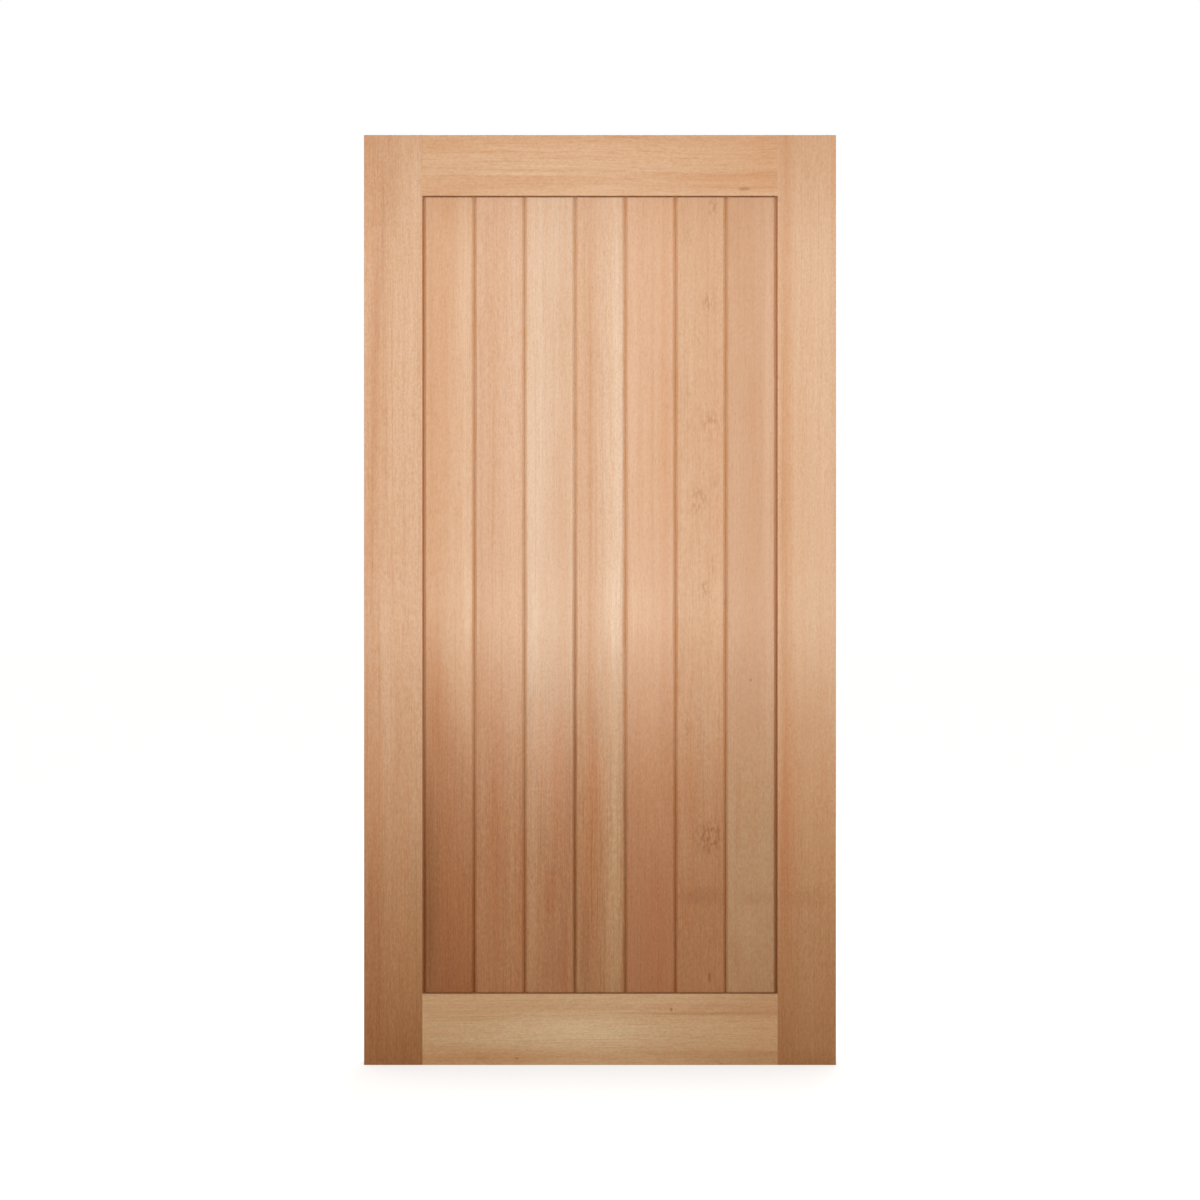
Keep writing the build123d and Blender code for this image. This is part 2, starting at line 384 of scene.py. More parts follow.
# The marks of each board, in the order in which they are laid over one another
MARKS = {
    "hinge_stile": [
        Mark("brown", 26, 1535, 21, 620, 0.75),
        Mark("dark", 41, 1880, 5, 150, 0.9),
        Mark("dark", 21, 1500, 6, 180, 0.5),
        Mark("dark", 18, 1200, 4, 260, 0.5),
        Mark("pale", 102, 1700, 28, 480, 0.45),
        Mark("pale", 55, 800, 14, 230, 0.5),
        Mark("red", 23, 400, 9, 160, 0.5),
        Mark("olive", 115, 360, 13, 180, 0.4),
        Mark("pale", 112, 2000, 34, 130, 0.5),
        Mark("dark", 31, 1700, 6, 170, 0.7),
        Mark("brown", 8, 1150, 8, 280, 0.9),
        Mark("brown", 20, 600, 20, 330, 0.5),
        Mark("dark", 18, 200, 26, 190, 0.6),
        Mark("pale", 110, 480, 30, 300, 0.35),
        Mark("dark", 70, 90, 75, 80, 0.3),
        Mark("pale", 122, 2010, 12, 90, 0.5),
        Mark("honey", 35, 632, 50, 100, 0.45),
        Mark("dark", 60, 26, 80, 42, 0.35),
        Mark("pale", 26, 2035, 22, 60, 0.3),
        Mark("pale", 5, 1780, 9, 330, 0.3),
        Mark("pale", 68, 1500, 15, 300, 0.35),
        Mark("pale", 104, 118, 20, 50, 0.25),
        Mark("pale", 22, 265, 22, 80, 0.2),
    ],
    "lock_stile": [
        Mark("brown", 953, 1400, 13, 820, 1.0),
        Mark("dark", 950, 1300, 7, 700, 0.5),
        Mark("red", 953, 530, 13, 250, 0.9),
        Mark("pale", 1007, 1745, 40, 330, 0.25),
        Mark("pale", 1013, 180, 24, 190, 0.4),
        # Painted shadow: with marks on planks 6 and 7, a dark band across the leaf at this height
        Mark("dark", 1000, 376, 60, 20, 0.5),
        Mark("brown", 960, 560, 30, 260, 0.6),
        Mark("pale", 1044, 1700, 18, 500, 0.3),
        Mark("pale", 1012, 130, 50, 100, 0.35),
        Mark("brown", 1010, 690, 60, 130, 0.3),
        Mark("honey", 1020, 540, 60, 210, 0.5),
        Mark("pale", 1003, 28, 70, 42, 0.45),
    ],
    "top_rail": [
        Mark("brown", 300, 1990, 190, 11, 0.9),
        Mark("brown", 800, 2006, 160, 8, 0.9),
        Mark("pale", 500, 2054, 330, 22, 0.5),
        Mark("brown", 533, 2090, 420, 7, 0.5),
        Mark("brown", 270, 2063, 140, 5, 0.5),
        Mark("knot", 858, 1978, 13, 4, 0.6),
        Mark("brown", 850, 1992, 110, 25, 0.5),
        Mark("brown", 915, 2035, 45, 70, 0.6),
        Mark("pale", 370, 2076, 200, 18, 0.4),
        Mark("brown", 750, 1990, 260, 26, 0.5),
        Mark("brown", 180, 1972, 60, 14, 0.8),
        Mark("brown", 870, 2088, 110, 14, 0.5),
        Mark("pale", 350, 2013, 110, 4, 0.5),
        Mark("brown", 350, 2002, 230, 6, 0.7),
        Mark("pale", 520, 1981, 90, 5, 0.4),
        Mark("pale", 380, 2028, 100, 5, 0.4),
        Mark("brown", 185, 2078, 50, 10, 0.7),
    ],
    "bottom_rail": [
        Mark("brown", 533, 134, 460, 9, 0.6),
        Mark("brown", 770, 117, 170, 4, 1.0),
        # Partly paler wood, partly painted sheen across the middle of the rail
        Mark("pale", 470, 76, 300, 32, 1.0),
        Mark("brown", 330, 20, 270, 15, 1.0),
        Mark("brown", 800, 26, 150, 9, 0.7),
        Mark("knot", 693, 126, 4, 4, 0.75),
        Mark("knot", 345, 13.5, 5, 3, 0.55),
        # Partly paler wood, partly painted sheen across the middle of the rail
        Mark("pale", 450, 60, 150, 45, 0.8),
        Mark("brown", 910, 80, 50, 90, 0.5),
        Mark("brown", 900, 132, 70, 26, 0.6),
        Mark("dark", 870, 136, 120, 28, 0.7),
        # This mark and the next are painted shade along the rail's lower arris, at the foot of the leaf
        Mark("brown", 230, 10, 160, 13, 0.8),
        Mark("dark", 860, 12, 130, 16, 0.9),
        # Partly paler wood, partly painted sheen across the middle of the rail
        Mark("pale", 460, 112, 180, 40, 0.3),
        Mark("dark", 760, 116, 190, 3.5, 0.9),
        Mark("brown", 740, 64, 70, 4, 0.7),
        Mark("brown", 250, 105, 90, 4, 0.6),
        Mark("brown", 480, 50, 120, 3.5, 0.5),
        # Partly paler wood, partly painted sheen across the middle of the rail
        Mark("pale", 533, 60, 130, 70, 0.15),
    ],
    "plank_1": [
        Mark("brown", 163, 1380, 26, 650, 0.7),
        Mark("pale", 233, 1330, 10, 700, 0.7),
        Mark("pale", 211, 1260, 20, 480, 0.4),
        Mark("brown", 177, 779, 32, 110, 0.8),
        Mark("olive", 151, 380, 13, 240, 1.0),
        Mark("pink", 205, 350, 30, 230, 0.8),
        Mark("knot", 214.5, 1312, 4, 6, 0.2),
        Mark("pale", 222, 1800, 20, 160, 0.5),
        Mark("brown", 158, 860, 22, 120, 0.9),
        Mark("brown", 190, 640, 70, 120, 0.8),
        Mark("pale", 233, 290, 10, 110, 0.7),
        Mark("pale", 236, 1040, 10, 90, 0.6),
        Mark("pale", 213, 350, 32, 170, 0.4),
    ],
    "plank_2": [
        Mark("brown", 282, 1500, 20, 500, 0.5),
        Mark("pale", 339, 1280, 11, 700, 0.5),
        Mark("red", 296, 560, 18, 280, 0.8),
        Mark("pale", 335, 370, 10, 200, 0.5),
        Mark("dark", 262, 1320, 7, 350, 0.4),
        Mark("brown", 266, 840, 14, 150, 1.0),
        Mark("pale", 340, 1800, 14, 160, 0.3),
        Mark("pale", 340, 480, 12, 90, 0.5),
        Mark("brown", 300, 950, 42, 330, 0.4),
        Mark("pale", 333, 266, 18, 80, 0.2),
    ],
    "plank_3": [
        Mark("pale", 388, 1430, 18, 500, 0.6),
        Mark("brown", 450, 1400, 16, 620, 0.4),
        Mark("red", 441, 600, 18, 190, 0.9),
        Mark("red", 420, 385, 10, 65, 1.0),
        Mark("pale", 382, 370, 11, 230, 0.7),
        Mark("red", 455, 235, 10, 90, 0.8),
        Mark("brown", 448, 900, 22, 600, 0.3),
        Mark("dark", 464, 580, 6, 200, 0.8),
        Mark("pale", 384, 800, 13, 400, 0.4),
        Mark("red", 425, 1130, 45, 340, 0.2),
        Mark("pink", 420, 680, 42, 110, 0.6),
        Mark("dark", 435, 290, 28, 130, 0.7),
        # Painted shade darkening the V joint between planks 3 and 4
        Mark("shaded_joint", 476, 560, 4, 560, 0.9),
        Mark("pale", 446, 632, 18, 90, 0.25),
    ],
    "plank_4": [
        Mark("brown", 508, 1340, 24, 680, 0.8),
        Mark("dark", 511, 1320, 4, 600, 0.6),
        Mark("pale", 564, 1450, 17, 560, 1.0),
        Mark("pale", 565, 420, 15, 380, 1.0),
        Mark("red", 515, 420, 27, 300, 1.0),
        Mark("pale", 564, 1040, 18, 100, 0.9),
        Mark("brown", 505, 640, 26, 320, 0.6),
        Mark("dark", 496, 280, 12, 120, 0.6),
        Mark("pale", 550, 380, 32, 230, 0.4),
        Mark("pink", 520, 650, 30, 90, 0.4),
        # Painted shade darkening the V joint between planks 3 and 4
        Mark("shaded_joint", 476, 560, 4, 560, 0.9),
        Mark("honey", 560, 630, 16, 100, 0.5),
        Mark("pale", 563.5, 560, 3.5, 150, 0.7),
        Mark("dark", 503, 266, 18, 80, 0.2),
        Mark("pale", 574, 1560, 9, 420, 0.5),
    ],
    "plank_5": [
        Mark("pale", 608, 1500, 8, 520, 0.5),
        Mark("brown", 680, 1440, 12, 560, 0.6),
        Mark("dark", 651, 1460, 4, 380, 0.3),
        Mark("red", 667, 300, 24, 150, 0.7),
        Mark("pale", 630, 1040, 24, 90, 0.5),
        Mark("brown", 682, 780, 14, 180, 0.7),
        Mark("pale", 645, 500, 50, 85, 0.35),
        Mark("pale", 657, 290, 10, 100, 0.5),
        Mark("honey", 655, 625, 60, 130, 0.7),
        Mark("honey", 653, 1370, 30, 160, 0.5),
    ],
    "plank_6": [
        Mark("fleck", 788, 1942, 11, 24, 0.62),
        Mark("fleck", 734, 1865, 6, 30, 0.37),
        Mark("fleck", 776, 1723, 14, 20, 0.62),
        Mark("fleck", 780, 1456, 17, 24, 0.62),
        Mark("fleck", 736, 1520, 8, 20, 0.37),
        Mark("fleck", 757, 1276, 20, 28, 0.62),
        Mark("fleck", 790, 1314, 7, 12, 0.43),
        Mark("fleck", 768, 1075, 12, 20, 0.62),
        Mark("fleck", 788, 1124, 6, 18, 0.5),
        Mark("fleck", 729, 761, 8, 30, 0.5),
        Mark("fleck", 781, 513, 28, 31, 0.9),
        Mark("red", 736, 620, 18, 100, 0.4),
        # Painted shadow: a dark band across planks 6 and 7 and the lock stile
        Mark("dark", 764, 380, 50, 18, 0.85),
        Mark("knot", 781, 196, 3, 10, 0.6),
        Mark("pale", 727, 500, 12, 90, 0.8),
        Mark("pale", 799, 950, 9, 230, 0.5),
        Mark("pale", 777, 730, 10, 160, 0.35),
        Mark("brown", 745, 300, 42, 110, 0.4),
        Mark("pale", 729, 1450, 12, 480, 0.22),
    ],
    "plank_7": [
        Mark("brown", 877, 1380, 24, 400, 0.3),
        Mark("brown", 855, 1830, 24, 150, 0.4),
        Mark("pale", 915, 1400, 10, 650, 0.7),
        Mark("knot", 874, 869, 3.2, 3.6, 0.5),
        Mark("brown", 846, 570, 6, 90, 0.8),
        # Painted shadow: a dark band across planks 6 and 7 and the lock stile
        Mark("dark", 892, 375, 34, 14, 0.5),
        Mark("pale", 860, 290, 22, 70, 0.5),
        Mark("brown", 843, 250, 12, 50, 0.8),
        Mark("dark", 865, 850, 38, 100, 0.3),
        Mark("brown", 868, 690, 46, 100, 0.35),
        # Painted shade darkening the gap between plank 7 and the lock stile
        Mark("shaded_joint", 932, 450, 5, 560, 0.7),
    ],
}


HEAD_TINT_FOOT = 1780 * MM                 # the height above which the head turns warmer and darker
HEAD_TINT_TOP = 2130 * MM                 # the height at which that change would be full, just above the leaf
JOINT_DEPTH = 6.8 * MM               # from the leaf's middle plane to the tongues seen round the planks
JOINT_SPREAD = 1.4 * MM              # how far in front of and behind that depth the gap's painted shade reaches
V_TOP = 14.0 * MM                    # from the middle plane to the planks' face
V_BOTTOM = 8.5 * MM                  # and to the bottom of the V joints
EASED = 1.5 * MM                     # how far the sander reaches round the frame's corners
SAWN_ROUGHNESS = 0.65                # how much rougher the wood is where the sander didn't reach
BAND_SWAY = 0.1                      # metres by which the growth bands shift the change from head to foot
MARK_WOBBLE = 6 * MM                 # how far a mark's outline strays with the grain
MARK_DEPTH = 80 * MM                 # half of a mark's size through the leaf, so that both faces show it
MARK_FRAY = 0.7                      # how much a mark's ends run out along the lines of the grain

# What each layer of the grain does to the wood's red, green and blue
RIPE_BAND = (0.995, 0.965, 0.94)
PALE_BAND = (1.012, 1.03, 1.05)
PALE_THREAD = (1.012, 1.03, 1.045)
CLOUD = (0.97, 0.95, 0.92)
PALE_RIPPLE = (1.03, 1.075, 1.12)
DARK_RIPPLE = (0.97, 0.925, 0.88)
PALE_STREAK = (1.05, 1.055, 1.05)
RESIN_STREAK = (0.86, 0.85, 0.86)
PALE_DASH = (1.06, 1.065, 1.06)
DARK_DASH = (0.94, 0.935, 0.94)


def add(tree, kind, links=(), **settings):
    """Adds a node.

    links gives its inputs, by name or number, a value, a socket or another node's first output.
    """
    node = tree.nodes.new(kind)
    for name, value in settings.items():
        setattr(node, name, value)
    for key, value in dict(links).items():
        socket = node.inputs[key] if isinstance(key, int) else next(
            s for s in node.inputs if s.name == key and s.enabled)
        if isinstance(value, bpy.types.Node):
            value = next(s for s in value.outputs if s.enabled)
        if isinstance(value, bpy.types.NodeSocket):
            tree.links.new(value, socket)
        else:
            socket.default_value = value
    return node


def numbers(tree, operation, *terms):
    """One step of arithmetic, such as MULTIPLY_ADD, on two or three numbers."""
    return add(tree, "ShaderNodeMath", dict(enumerate(terms)), operation=operation)


def vectors(tree, operation, *terms):
    """The same on vectors."""
    return add(tree, "ShaderNodeVectorMath", dict(enumerate(terms)), operation=operation)


def remap(tree, value, low, high, start, end, shape="LINEAR"):
    """Turns the range from low to high into the range from start to end, and holds it beyond."""
    links = {"Value": value, "From Min": low, "From Max": high, "To Min": start, "To Max": end}
    return add(tree, "ShaderNodeMapRange", links, interpolation_type=shape).outputs["Result"]


def mask(tree, value, low, high, top=1.0):
    """0 at low, top at high, smooth between and level beyond."""
    return remap(tree, value, low, high, 0.0, top, "SMOOTHSTEP")


def mix(tree, below, above, share, blend="MIX"):
    """One colour over another, by this share."""
    links = {"Factor": share, "A": below, "B": above}
    return add(tree, "ShaderNodeMix", links, data_type="RGBA", blend_type=blend)


def tint(tree, colour, shade, share):
    """Multiplies a colour by a fixed red, green and blue, by this share."""
    return mix(tree, colour, rgba(shade), share, "MULTIPLY")


def mottle(tree, colour, pale, dark, pattern, share):
    """Multiplies a colour by pale where the pattern is 0 and by dark where it is 1, by this share."""
    shade = mix(tree, rgba(pale), rgba(dark), pattern)
    return mix(tree, colour, shade, share, "MULTIPLY")


def per_metre(across, deep, along):
    """The scale of a pattern that repeats after these lengths, in millimetres."""
    return (1000 / across, 1000 / deep, 1000 / along)


def patches(tree, place, size, shift=(0, 0, 0), detail=1.0):
    """Soft random patches, this many millimetres across, deep and along. Gives the noise's outputs."""
    spread = add(tree, "ShaderNodeMapping", {"Vector": place, "Location": shift, "Scale": per_metre(*size)})
    return add(tree, "ShaderNodeTexNoise", {"Vector": spread, "Scale": 1.0, "Detail": detail}).outputs


def draw_grain(tree, board, place, run, seed):
    """All that a board's wood is drawn with, as sockets: places, and patterns from coarse to fine.

    The patterns are solid: growth layers are rings about the tree's heart, so faces, edges and ends agree.
    """
    # The board's own space: X across the face, Y through it, Z along the grain
    leaf = add(tree, "ShaderNodeTexCoord").outputs["Object"]
    turn = (0, -math.pi / 2, 0) if run == "X" else (0, 0, 0)
    own = add(tree, "ShaderNodeMapping", {
        "Vector": leaf, "Location": place, "Rotation": turn}, vector_type="TEXTURE")

    # The grain meanders slowly along the board, and a little within a hand's breadth
    slow = patches(tree, own, (500, 500, 900), shift=(seed, 0, 0))["Color"]
    quick = patches(tree, own, (60, 60, 150), shift=(0, seed, 0))["Color"]
    slow_reach = 14 * MM * board.wave
    quick_reach = 3 * MM * board.wave
    drift = vectors(tree, "MULTIPLY_ADD", slow, (slow_reach, slow_reach, 0), own)
    drift = vectors(tree, "MULTIPLY_ADD", quick, (quick_reach, quick_reach, 0), drift)
    mean_drift = (slow_reach + quick_reach) / 2
    heart = (board.heart[0] * MM + mean_drift, board.heart[1] * MM + mean_drift, 0)
    from_heart = vectors(tree, "SUBTRACT", drift, heart)

    # Rings: distance from the heart, angle round it and height
    parts = add(tree, "ShaderNodeSeparateXYZ", {"Vector": from_heart}).outputs
    flat = vectors(tree, "MULTIPLY", from_heart, (1, 1, 0))
    radius = vectors(tree, "LENGTH", flat).outputs["Value"]
    angle = numbers(tree, "ARCTAN2", parts["Y"], parts["X"])
    rings = add(tree, "ShaderNodeCombineXYZ", {"X": radius, "Y": angle, "Z": parts["Z"]})
    reach = math.hypot(*board.heart)

    def layers(thick, wide, long, detail=2.0, shift=0.0):
        """Patches that are thick mm from ring to ring, wide mm round them and long mm along the grain."""
        spread = add(tree, "ShaderNodeMapping", {
            "Vector": rings, "Location": (seed + shift, shift, seed),
            "Scale": (1000 / thick, reach / wide, 1000 / long)})
        noise = add(tree, "ShaderNodeTexNoise", {"Vector": spread, "Scale": 1.0, "Detail": detail})
        return noise.outputs["Fac"]

    return SimpleNamespace(
        leaf=leaf,
        spot=add(tree, "ShaderNodeSeparateXYZ", {"Vector": leaf}).outputs,
        own=own,
        quick=quick,
        bands=layers(26, 70, 1400),
        clouds=patches(tree, own, (120, 120, 380), shift=(seed, seed, 0), detail=2.0)["Fac"],
        threads=layers(8, 26, 900, shift=3),
        hairs=layers(2.4, 12, 900, shift=17),
        lines=layers(2.4, 8, 260, shift=7),
        resin=layers(2.2, 7, 200, shift=23) if board.resin else None,
        dashes=patches(tree, drift, (3.5, 3.5, 12), shift=(0, 0, seed))["Fac"] if board.resin else None,
        # Short waves in the fibres, which catch the light by turns
        ripples=patches(tree, drift, (4, 4, 7), shift=(0, seed, 0))["Fac"],
        # The real fibres and vessels are finer than this, too fine for a picture of the whole door
        fibres=layers(1.4, 6, 40, detail=1.0, shift=11),
        pores=mask(tree, patches(tree, drift, (1.6, 1.6, 14), shift=(seed, 0, 0))["Fac"], 0.58, 0.74),
    )


def grown_colour(tree, grain, board, place, colours):
    """The board's tone along its length, darker towards its foot partly as painted shade, with the layers
    of its grain over it.
    """
    # Towards the foot the head colour turns to the foot colour: partly the wood's own tone, partly painted
    # shade where the key light fades; on plank 1 its edge slants
    height = numbers(tree, "MULTIPLY_ADD", grain.bands, BAND_SWAY, grain.spot["Z"])
    height = numbers(tree, "MULTIPLY_ADD", grain.spot["X"], board.slant, height)
    level = BAND_SWAY / 2 + place[0] * board.slant
    foot_tone_and_shade = mask(tree, height, board.change[0] * MM + level, board.change[1] * MM + level)
    colour = mix(tree, rgba(linear(board.head)), rgba(linear(board.foot)), foot_tone_and_shade)

    figure = board.figure
    colour = tint(tree, colour, RIPE_BAND, mask(tree, grain.bands, 0.5, 0.7, figure))
    colour = tint(tree, colour, PALE_BAND, mask(tree, grain.bands, 0.5, 0.3, figure))
    colour = tint(tree, colour, PALE_THREAD, mask(tree, grain.threads, 0.5, 0.75, figure))
    colour = tint(tree, colour, CLOUD, mask(tree, grain.clouds, 0.5, 0.72))
    colour = tint(tree, colour, colours.dark_line, mask(tree, grain.lines, 0.5, 0.8, 0.14 * figure))
    colour = tint(tree, colour, colours.dark_line, mask(tree, grain.hairs, 0.58, 0.72, 0.2 * figure))
    colour = tint(tree, colour, colours.dark_line, mask(tree, grain.fibres, 0.4, 0.75, 0.18 * figure))
    share = remap(tree, foot_tone_and_shade, 0, 1, 0.6 * figure, 1.2 * figure)
    colour = mottle(tree, colour, PALE_RIPPLE, DARK_RIPPLE, mask(tree, grain.ripples, 0.3, 0.7), share)
    if board.resin:
        share = numbers(tree, "MULTIPLY", foot_tone_and_shade, board.resin)
        streaks = mask(tree, grain.resin, 0.42, 0.72)
        colour = mottle(tree, colour, PALE_STREAK, RESIN_STREAK, streaks, share)
        share = numbers(tree, "MULTIPLY", foot_tone_and_shade, min(1.0, 2 * board.resin))
        colour = mottle(tree, colour, PALE_DASH, DARK_DASH, mask(tree, grain.dashes, 0.3, 0.7), share)
    colour = tint(tree, colour, colours.pore, numbers(tree, "MULTIPLY", grain.pores, 0.2))
    return tint(tree, colour, colours.tan, mask(tree, grain.spot["Z"], HEAD_TINT_FOOT, HEAD_TINT_TOP))


def painted_joint_shade(tree, colour, grain, depth, colours):
    """Painted shade: a warm darkening that deepens into the V joints in mottled patches, and a dark colour
    on the tongues in the gap round the planks.
    """
    # Painted shade in the V joints, mottled along them and deepest at their bottom
    shade_mottle = patches(tree, grain.leaf, (30, 30, 90), detail=2.0)["Fac"]
    shade_mottle = remap(tree, shade_mottle, 0.35, 0.65, 0.45, 1.0)
    missed = numbers(tree, "MULTIPLY", mask(tree, depth, V_TOP, V_BOTTOM), shade_mottle)
    colour = tint(tree, colour, colours.v_joint_shade, missed)
    # Painted shade on the tongues in the gap round the planks
    bottom = numbers(tree, "COMPARE", depth, JOINT_DEPTH, JOINT_SPREAD)
    return mix(tree, colour, rgba(colours.joint), bottom)


def marked(tree, colour, grain, marks):
    """Lays the marks over a colour: ellipsoids that follow the grain's meander and fray along it."""
    bent = vectors(tree, "MULTIPLY_ADD", grain.quick, (MARK_WOBBLE, MARK_WOBBLE, MARK_WOBBLE), grain.leaf)
    fray = numbers(tree, "ADD", grain.threads, grain.lines)
    specks = mask(tree, patches(tree, grain.own, (6.5, 6.5, 15), detail=2.0)["Fac"], 0.44, 0.6)
    outline = 1 + MARK_FRAY
    for mark in marks:
        where = (mark.x * MM + MARK_WOBBLE / 2, MARK_WOBBLE / 2, mark.z * MM + MARK_WOBBLE / 2)
        size = (mark.across * MM, MARK_DEPTH, mark.up * MM)
        near = add(tree, "ShaderNodeMapping", {
            "Vector": bent, "Location": where, "Scale": size}, vector_type="TEXTURE")
        near = vectors(tree, "LENGTH", near).outputs["Value"]
        near = numbers(tree, "MULTIPLY_ADD", fray, MARK_FRAY, near)
        soft = 0.3 if mark.kind == "knot" else 0.6
        inside = remap(tree, near, outline - soft, outline + soft, mark.strength, 0.0, "SMOOTHSTEP")
        if mark.kind == "fleck":
            inside = numbers(tree, "MULTIPLY", inside, specks)
        colour = tint(tree, colour, TINTS[mark.kind], inside)
    return colour


def hardwood(name, board, place, run, colours, marks):
    """Light red hardwood, planed and sanded, with no finish on it. Its fibres run along X or Z.

    Planing leaves the vessels cut open as short dashes, and sanding leaves a dull satin with a soft gleam
    across the fibres.
    """
    material = bpy.data.materials.new(name)
    material.use_nodes = True
    tree = material.node_tree
    tree.nodes.clear()
    seed = sum(ord(letter) for letter in name) % 97
    grain = draw_grain(tree, board, place, run, seed)
    colour = grown_colour(tree, grain, board, place, colours)

    # Only the faces were sanded smooth enough to gleam
    depth = numbers(tree, "ABSOLUTE", grain.spot["Y"])
    face = V_TOP if board.joints else leaf_high.y
    unsanded = V_BOTTOM if board.joints else leaf_high.y - EASED
    coarse = mask(tree, depth, face, unsanded, SAWN_ROUGHNESS)
    # Painted shade in the V joints and in the gap round the planks
    if board.joints:
        colour = painted_joint_shade(tree, colour, grain, depth, colours)
    colour = marked(tree, colour, grain, marks)

    normal = add(tree, "ShaderNodeNewGeometry").outputs["Normal"]
    fibre_axis = (1, 0, 0) if run == "X" else (0, 0, 1)
    endwise = vectors(tree, "DOT_PRODUCT", normal, fibre_axis).outputs["Value"]
    endwise = numbers(tree, "ABSOLUTE", endwise)
    colour = tint(tree, colour, colours.end_grain, mask(tree, endwise, 0.6, 0.95))

    # Surface: open pores and proud fibres, and a gleam that runs across the fibres
    relief = numbers(tree, "MULTIPLY_ADD", grain.lines, 0.35, grain.fibres)
    relief = numbers(tree, "MULTIPLY_ADD", grain.pores, -0.8, relief)
    bump = add(tree, "ShaderNodeBump", {"Height": relief, "Strength": 0.5, "Distance": 0.12 * MM})
    rough = remap(tree, grain.threads, 0.3, 0.7, 0.26, 0.31)
    rough = numbers(tree, "ADD", rough, coarse)
    across = vectors(tree, "CROSS_PRODUCT", normal, fibre_axis)
    # On end grain that product is nothing. What is added keeps the gloss there from turning black.
    across = vectors(tree, "ADD", across, (0, 0.001, 0))
    shader = add(tree, "ShaderNodeBsdfPrincipled", {
        "Base Color": colour, "Roughness": rough, "Normal": bump, "Tangent": across,
        "IOR": 1.5, "Specular IOR Level": board.gloss, "Anisotropic": 0.95})
    add(tree, "ShaderNodeOutputMaterial", {"Surface": shader})
    return material


def middle_of(node):
    """The middle of a node's box, in metres."""
    low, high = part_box(node)
    return tuple((low + high) / 2)


def finish_board(piece, node, run):
    """Gives a piece the wood of its board."""
    colours = bpy.context.scene.door_timber
    wood = hardwood(f"sanded_hardwood_{node}", BOARDS[node], middle_of(node), run, colours, MARKS[node])
    if piece.data.materials:
        piece.material_slots[0].material = wood
    else:
        piece.data.materials.append(wood)


# Operators

class PLANKDOOR_OT_planks(bpy.types.Operator):
    """Build the planks with rounded arrises and finish each in its own board's wood"""

    bl_idname = "plank_door.planks"
    bl_label = "Planks"

    def execute(self, context):
        for node in PLANKS:
            piece = plank_mesh(node, context.scene.door_planks)
            finish_board(piece, node, "Z")
            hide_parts(node)
            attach(piece, "root")
        return {"FINISHED"}


class PLANKDOOR_OT_stiles(bpy.types.Operator):
    """Finish the two upright frame members"""

    bl_idname = "plank_door.stiles"
    bl_label = "Stiles"

    def execute(self, context):
        for node in STILES:
            finish_board(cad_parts[node], node, "Z")
        return {"FINISHED"}


class PLANKDOOR_OT_rails(bpy.types.Operator):
    """Finish the top rail and the paler bottom rail"""

    bl_idname = "plank_door.rails"
    bl_label = "Rails"

    def execute(self, context):
        for node in RAILS:
            finish_board(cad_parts[node], node, "X")
        return {"FINISHED"}


class PLANKDOOR_OT_wedges(bpy.types.Operator):
    """Finish the wedges that lock the tenons"""

    bl_idname = "plank_door.wedges"
    bl_label = "Wedges"

    def execute(self, context):
        colours = context.scene.door_timber
        board = Board(head="B98C66", foot="B98C66", heart=(-40, 30))
        for node in WEDGES:
            wood = hardwood(f"sawn_hardwood_{node}", board, middle_of(node), "X", colours, [])
            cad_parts[node].material_slots[0].material = wood
        return {"FINISHED"}


class PLANKDOOR_OT_stage(bpy.types.Operator):
    """Set up the camera, the lamps, the pale floor and the white surroundings"""

    bl_idname = "plank_door.stage"
    bl_label = "Stage"

    def execute(self, context):
        stage = context.scene.door_stage
        make_camera(stage)
        make_lamps(stage)
        make_world(stage)
        make_floor()
        context.scene.view_settings.view_transform = "Standard"
        return {"FINISHED"}


SENSOR_WIDTH = 36.0             # millimetres


def make_camera(stage):
    """Straight in front, level with the middle of the leaf, as far off as the lens needs to frame it."""
    frame_height = LEAF_HEIGHT * PHOTO_SIDE_PX / (LEAF_FOOT_PX - LEAF_TOP_PX)
    distance = frame_height * stage.focal_length / SENSOR_WIDTH
    camera = bpy.data.objects.new("camera", bpy.data.cameras.new("camera"))
    camera.data.lens = stage.focal_length
    camera.data.sensor_width = SENSOR_WIDTH
    camera.location = (LEAF_MIDDLE_X, FRONT_Y - distance, leaf_low.z + LEAF_HEIGHT / 2)
    camera.rotation_euler = (math.radians(90), 0, 0)
    bpy.context.scene.collection.objects.link(camera)
    bpy.context.scene.camera = camera


def aim(lamp, place, target):
    """Puts a lamp at a place and turns it to shine at a target."""
    lamp.location = place
    lamp.rotation_mode = "QUATERNION"
    lamp.rotation_quaternion = (Vector(target) - Vector(place)).to_track_quat("-Z", "Y")
    bpy.context.scene.collection.objects.link(lamp)


# Places and sizes of the lamps, in metres
LAMP_DISTANCE = 7.0
LAMP_RADIUS = 0.45              # the key light's, for soft shadows
KEY_HEIGHT = 1.6
KEY_AIM = 4.0                   # height at the door's plane that the key light is aimed at
KEY_FULL = 1.5                  # height down to which the key light is at full strength
KEY_ENDS = -0.5                 # height at which it has faded out, below the floor
GLEAM_HEIGHT = 0.98             # the gleam shows a little above this height
GLEAM_RADIUS = 0.15
BACK_LAMP_SIZE = (3.0, 2.0)
BACK_LAMP_ASIDE = 0.8           # how far it stands towards the lock edge
BACK_LAMP_DISTANCE = 4.5
BACK_LAMP_HEIGHT = 2.6
BACK_AIM = 1.0


